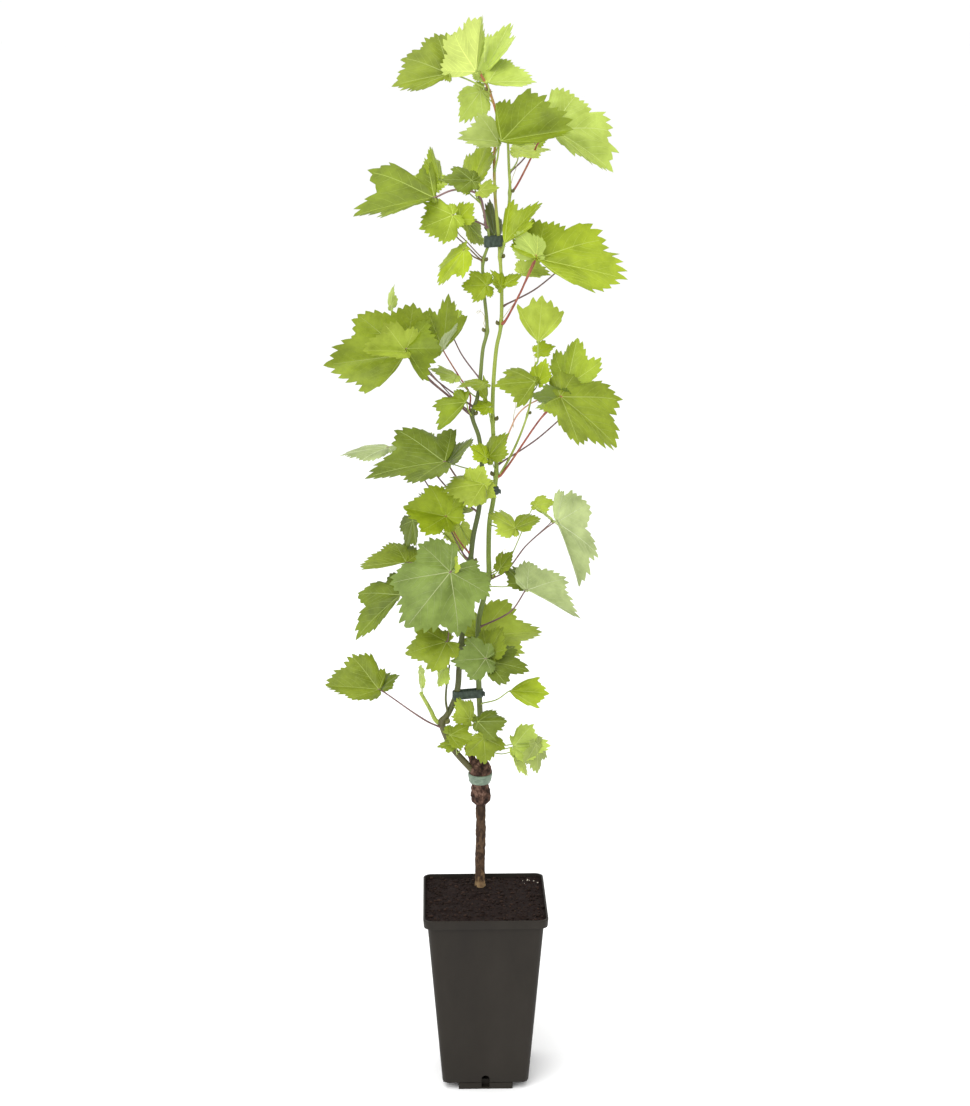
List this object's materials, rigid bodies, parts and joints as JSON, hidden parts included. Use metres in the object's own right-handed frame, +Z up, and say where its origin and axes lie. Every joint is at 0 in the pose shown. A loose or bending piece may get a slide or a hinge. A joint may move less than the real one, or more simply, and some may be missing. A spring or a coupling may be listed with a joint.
{
  "type": "potted grapevine",
  "caption": "Young grafted grapevine: twin upright shoots with lobed leaves on long stalks, tied together, in a deep square nursery pot.",
  "frame": {"origin": "centre of the flat underside of the pot", "axes": "+Z up along the shoots, -Y towards the side that the plant shows to the viewer"},
  "size_m": [0.3001, 0.2092, 1.1067],
  "materials": {
    "pot": "black recycled plastic, satin, slightly dusty",
    "soil": "dark crumbly potting compost",
    "rootstock_bark": "young brown bark with fine long cracks",
    "graft_bark": "rough dark callus",
    "left_shoot_bark": "dark olive green skin",
    "right_shoot_bark": "light yellow green skin",
    "tape": "grey green stretched grafting tape",
    "tie": "dark grey green tying tape",
    "leaf": "soft matt leaf, paler underneath"
  },
  "bodies": {
    "root": {"pot": "pot", "soil": "soil", "rootstock": "rootstock_bark", "graft_head": "graft_bark", "graft_tape": "tape", "left_shoot_foot": "left_shoot_bark", "left_shoot_bend": "left_shoot_bark", "left_shoot_middle": "left_shoot_bark", "left_shoot_top": "left_shoot_bark", "right_shoot_lower": "right_shoot_bark", "right_shoot_middle": "right_shoot_bark", "right_shoot_top": "right_shoot_bark", "side_shoot": "right_shoot_bark", "cut_stub": "right_shoot_bark", "low_tie": "tie", "middle_tie": "tie", "high_tie": "tie", "leaves_tip": "leaf", "leaves_tip_left": "leaf", "leaves_tip_right": "leaf", "leaves_high_left": "leaf", "leaves_high_right": "leaf", "leaves_high_outer": "leaf", "leaves_side_tip": "leaf", "leaves_left_high": "leaf", "leaves_high_inner": "leaf", "leaves_left_bright": "leaf", "leaves_upper_dark": "leaf", "leaves_left_upper": "leaf", "leaves_right_upper": "leaf", "leaves_right_knot": "leaf", "leaves_left_middle": "leaf", "leaves_middle_inner": "leaf", "leaves_middle_bright": "leaf", "leaves_right_fan": "leaf", "leaves_right_middle": "leaf", "leaves_right_lower": "leaf", "leaves_left_dark": "leaf", "leaves_left_strip": "leaf", "leaves_inner_dark": "leaf", "leaves_centre_bright": "leaf", "leaves_left_green": "leaf", "leaves_centre_big": "leaf", "leaves_left_behind": "leaf", "leaves_left_low": "leaf", "leaves_low_bright": "leaf", "leaves_stub": "leaf", "leaves_lower_left": "leaf", "leaves_right_blue": "leaf", "leaves_moustache": "leaf", "leaves_right_pale": "leaf", "leaves_low_right": "leaf", "leaves_low_centre": "leaf", "leaves_graft_left": "leaf", "leaves_graft_middle": "leaf", "leaves_graft_right": "leaf"}
  },
  "joints": []
}
